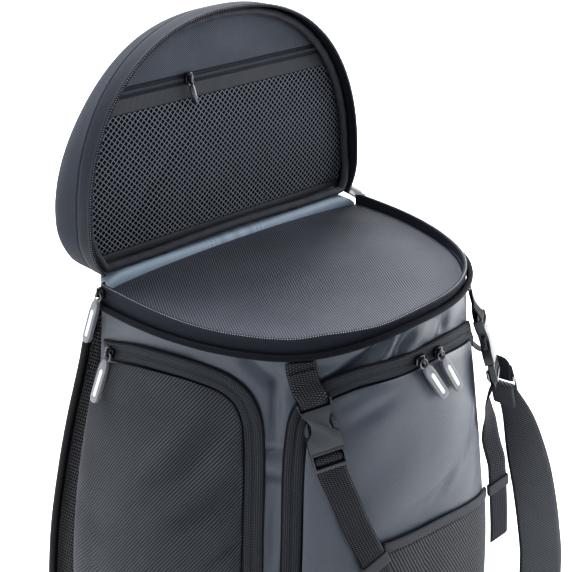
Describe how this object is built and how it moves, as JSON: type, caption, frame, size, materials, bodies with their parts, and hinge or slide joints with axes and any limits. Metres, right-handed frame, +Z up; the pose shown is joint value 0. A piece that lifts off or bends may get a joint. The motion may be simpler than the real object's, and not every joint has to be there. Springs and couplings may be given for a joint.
{
  "type": "gear bag",
  "caption": "Tall D-shaped gear bag standing with its domed lid open, with zipped side and front pockets, buckled front straps, padded back and a shoulder strap.",
  "frame": {"origin": "on the underside of the base, on the bag's middle plane, at the front-to-back zero line of its sections", "axes": "+Z up, front of the bag towards -Y, +X to the bag's right as seen from the front camera side"},
  "size_m": [0.4539, 0.3395, 0.7094],
  "materials": {
    "tarp": "slate grey coated cloth, satin",
    "ballistic": "black basket weave, matt",
    "twill": "charcoal fine ribbed cloth, matt",
    "mesh": "black open mesh and spacer cloth, matt",
    "ziptape": "blue-black zip tape with coil teeth",
    "piping": "dark grey covered cord, satin",
    "trim": "pale blue-grey lining strip",
    "webbing": "black ribbed webbing",
    "plastic": "dark grey moulded plastic, fine grain",
    "slider": "black lacquered zip slider",
    "rubber": "grey soft puller",
    "insert": "white reflective strip",
    "steel": "bright wire ring"
  },
  "bodies": {
    "root": {"body_shell": "tarp", "front_pocket_panel": "tarp", "base_panel": "ballistic", "lid_shell": "ballistic", "left_pocket_panel": "ballistic", "right_pocket_panel": "ballistic", "top_panel": "twill", "lid_upper_panel": "twill", "lid_mesh": "mesh", "left_pocket_mesh": "mesh", "flap_panel": "mesh", "back_panel": "mesh", "rim_band": "ziptape", "lid_rim_band": "ziptape", "lid_pocket_zip": "ziptape", "left_pocket_zip": "ziptape", "right_pocket_zip": "ziptape", "front_pocket_zip": "ziptape", "rim_piping": "piping", "lid_binding": "piping", "flap_binding": "piping", "back_piping": "piping", "hinge_gusset": "trim", "lid_pocket_band": "webbing", "strap_upper_left": "webbing", "strap_lower_left": "webbing", "strap_keeper_left": "webbing", "strap_upper_right": "webbing", "strap_lower_right": "webbing", "strap_keeper_right": "webbing", "shoulder_anchor": "webbing", "shoulder_strap": "webbing", "buckle_female_left": "plastic", "buckle_male_left": "plastic", "buckle_female_right": "plastic", "buckle_male_right": "plastic", "lid_left_slider": "slider", "lid_right_slider": "slider", "left_pocket_slider": "slider", "front_left_slider": "slider", "front_right_slider": "slider", "lid_pocket_slider": "slider", "lid_pocket_pull": "slider", "lid_left_pull": "rubber", "lid_right_pull": "rubber", "left_pocket_pull": "rubber", "front_left_pull": "rubber", "front_right_pull": "rubber", "lid_left_insert": "insert", "lid_right_insert": "insert", "left_pocket_insert": "insert", "front_left_insert": "insert", "front_right_insert": "insert", "shoulder_ring": "steel"}
  },
  "joints": []
}
